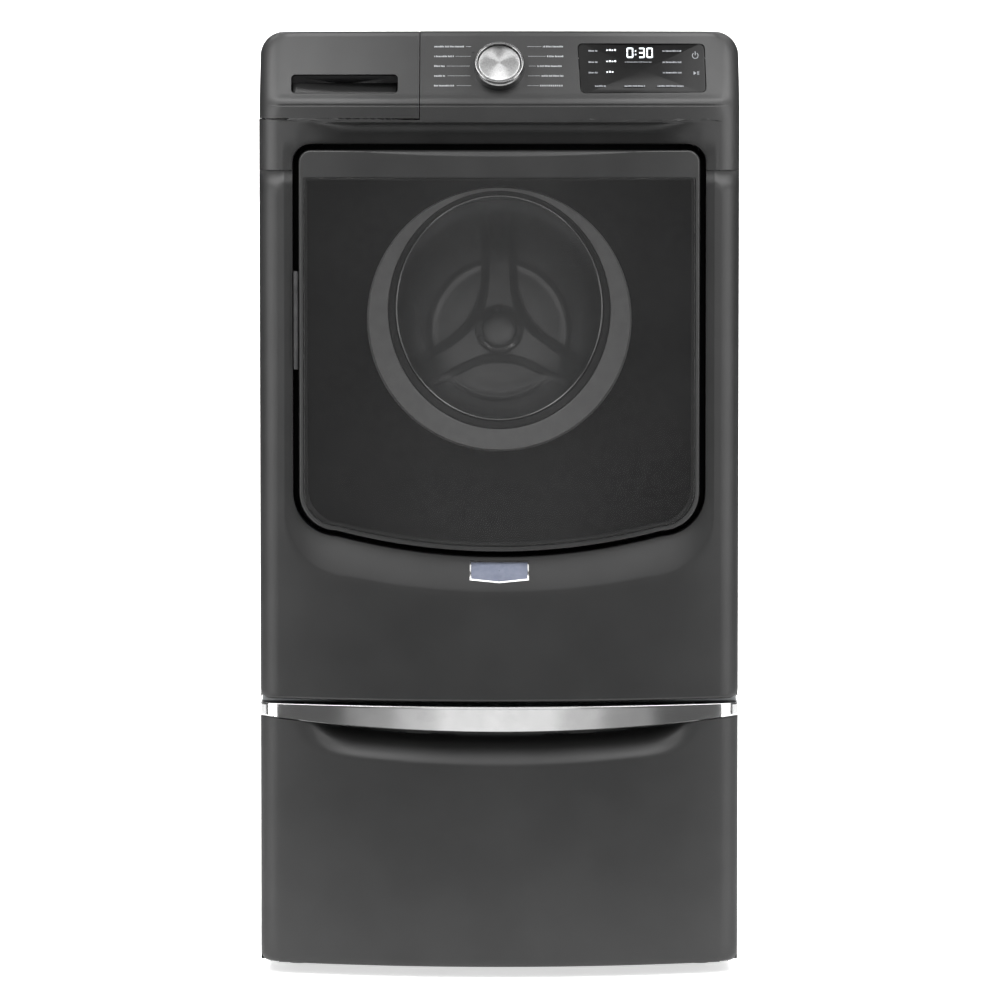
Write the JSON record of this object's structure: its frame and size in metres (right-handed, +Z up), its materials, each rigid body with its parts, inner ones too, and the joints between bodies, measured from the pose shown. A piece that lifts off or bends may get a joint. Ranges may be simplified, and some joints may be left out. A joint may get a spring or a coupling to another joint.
{
  "type": "front load washing machine",
  "caption": "Front load washing machine with a bowed front and a tinted full-width door, standing on a pedestal with a storage drawer.",
  "frame": {"origin": "on the floor, below the middle of the whole machine's box", "axes": "+X to the right as seen from in front, +Y to the back, +Z up; the front faces -Y"},
  "size_m": [0.686, 0.787, 1.352],
  "materials": {
    "slate_paint": "satin",
    "console_paint": "satin",
    "chrome": "polished",
    "satin_metal": "satin",
    "dark_glass": "gloss",
    "display_glass": "gloss",
    "clear_glass": "gloss",
    "ring_plastic": "satin",
    "black_plastic": "matte",
    "white_plastic": "satin",
    "tub_plastic": "satin",
    "stainless_steel": "satin",
    "zinc_plated_steel": "satin",
    "cast_aluminium": "matte",
    "rubber": "matte",
    "counterweight_stone": "matte",
    "motor_paint": "satin"
  },
  "bodies": {
    "cabinet": {"cabinet_wrap": "slate_paint", "top_panel": "slate_paint", "front_panel": "slate_paint", "pedestal_shell": "slate_paint", "console": "console_paint", "control_glass": "display_glass", "door_lock": "black_plastic", "hinge_bracket": "black_plastic", "inlet_valve": "black_plastic", "drain_pump": "black_plastic", "damper_cylinder_left": "black_plastic", "damper_cylinder_right": "black_plastic", "dispenser_housing": "white_plastic", "suspension_spring_left": "stainless_steel", "suspension_spring_right": "stainless_steel", "rear_panel": "zinc_plated_steel", "base_pan": "zinc_plated_steel", "rail_outer_left": "zinc_plated_steel", "rail_outer_right": "zinc_plated_steel", "dispenser_hose": "rubber", "sump_hose": "rubber", "door_bellows": "rubber"},
    "door": {"door_frame": "console_paint", "door_window": "dark_glass", "door_liner": "black_plastic", "door_ring": "ring_plastic", "door_bowl": "clear_glass", "door_hook": "cast_aluminium", "door_hinge_arm": "black_plastic"},
    "tub": {"tub_front": "tub_plastic", "tub_rear": "tub_plastic", "bearing_front": "zinc_plated_steel", "bearing_rear": "zinc_plated_steel", "counterweight_upper": "counterweight_stone", "counterweight_lower": "counterweight_stone", "heater": "stainless_steel", "motor": "motor_paint", "drive_belt": "rubber", "damper_rod_left": "stainless_steel", "damper_rod_right": "stainless_steel"},
    "drum": {"drum": "stainless_steel", "baffle_1": "tub_plastic", "baffle_2": "tub_plastic", "baffle_3": "tub_plastic", "drum_spider": "cast_aluminium", "drum_pulley": "cast_aluminium"},
    "rotor": {"motor_pulley": "zinc_plated_steel"},
    "knob": {"knob_ring": "chrome"},
    "button": {"knob_button": "satin_metal"},
    "dispenser": {"dispenser_front": "console_paint", "dispenser_tray": "white_plastic"},
    "drawer": {"pedestal_front": "slate_paint", "handle_strip": "chrome", "pedestal_bin": "zinc_plated_steel"},
    "rail_left": {"rail_middle_left": "zinc_plated_steel"},
    "rail_right": {"rail_middle_right": "zinc_plated_steel"},
    "foot_1": {"levelling_foot_1": "rubber"},
    "foot_2": {"levelling_foot_2": "rubber"},
    "foot_3": {"levelling_foot_3": "rubber"},
    "foot_4": {"levelling_foot_4": "rubber"}
  },
  "joints": [
    {"name": "door_hinge", "type": "hinge", "parent": "cabinet", "child": "door", "pos_m": [-0.29, -0.347, 0.94], "axis": [0, 0, -1], "range_deg": [0, 120]},
    {"name": "dispenser_slide", "type": "slide", "parent": "cabinet", "child": "dispenser", "axis": [0, -1, 0], "range_m": [0, 0.18]},
    {"name": "drawer_slide", "type": "slide", "parent": "cabinet", "child": "drawer", "axis": [0, -1, 0], "range_m": [0, 0.43]},
    {"name": "rail_slide_left", "type": "slide", "parent": "cabinet", "child": "rail_left", "axis": [0, -1, 0], "range_m": [0, 0.215]},
    {"name": "rail_slide_right", "type": "slide", "parent": "cabinet", "child": "rail_right", "axis": [0, -1, 0], "range_m": [0, 0.215]},
    {"name": "knob_turn", "type": "hinge", "parent": "cabinet", "child": "knob", "pos_m": [0, -0.36223, 1.297], "axis": [0, -0.8387, 0.5446], "continuous": true},
    {"name": "button_press", "type": "slide", "parent": "cabinet", "child": "button", "axis": [0, 0.8387, -0.5446], "range_m": [0, 0.0015], "stiffness_N_per_m": 800, "springref_m": -0.002},
    {"name": "tub_float", "type": "slide", "parent": "cabinet", "child": "tub", "axis": [0, 0, 1], "range_m": [-0.01, 0.01], "stiffness_N_per_m": 20000, "springref_m": 0.01845, "deforming": ["suspension_spring_left", "suspension_spring_right", "door_bellows", "dispenser_hose", "sump_hose"]},
    {"name": "drum_spin", "type": "hinge", "parent": "tub", "child": "drum", "pos_m": [0, -0.24, 0.93539], "axis": [0, 0.9976, -0.0698], "continuous": true},
    {"name": "motor_spin", "type": "hinge", "parent": "tub", "child": "rotor", "pos_m": [0, -0.26442, 0.58624], "axis": [0, 0.9976, -0.0698], "continuous": true},
    {"name": "foot_thread_1", "type": "slide", "parent": "cabinet", "child": "foot_1", "axis": [0, 0, -1], "range_m": [0, 0.02]},
    {"name": "foot_thread_2", "type": "slide", "parent": "cabinet", "child": "foot_2", "axis": [0, 0, -1], "range_m": [0, 0.02]},
    {"name": "foot_thread_3", "type": "slide", "parent": "cabinet", "child": "foot_3", "axis": [0, 0, -1], "range_m": [0, 0.02]},
    {"name": "foot_thread_4", "type": "slide", "parent": "cabinet", "child": "foot_4", "axis": [0, 0, -1], "range_m": [0, 0.02]}
  ],
  "couplings": [
    {"joint": "motor_spin", "follows": "drum_spin", "ratio": 15},
    {"joint": "rail_slide_left", "follows": "drawer_slide", "ratio": 0.5},
    {"joint": "rail_slide_right", "follows": "drawer_slide", "ratio": 0.5}
  ]
}
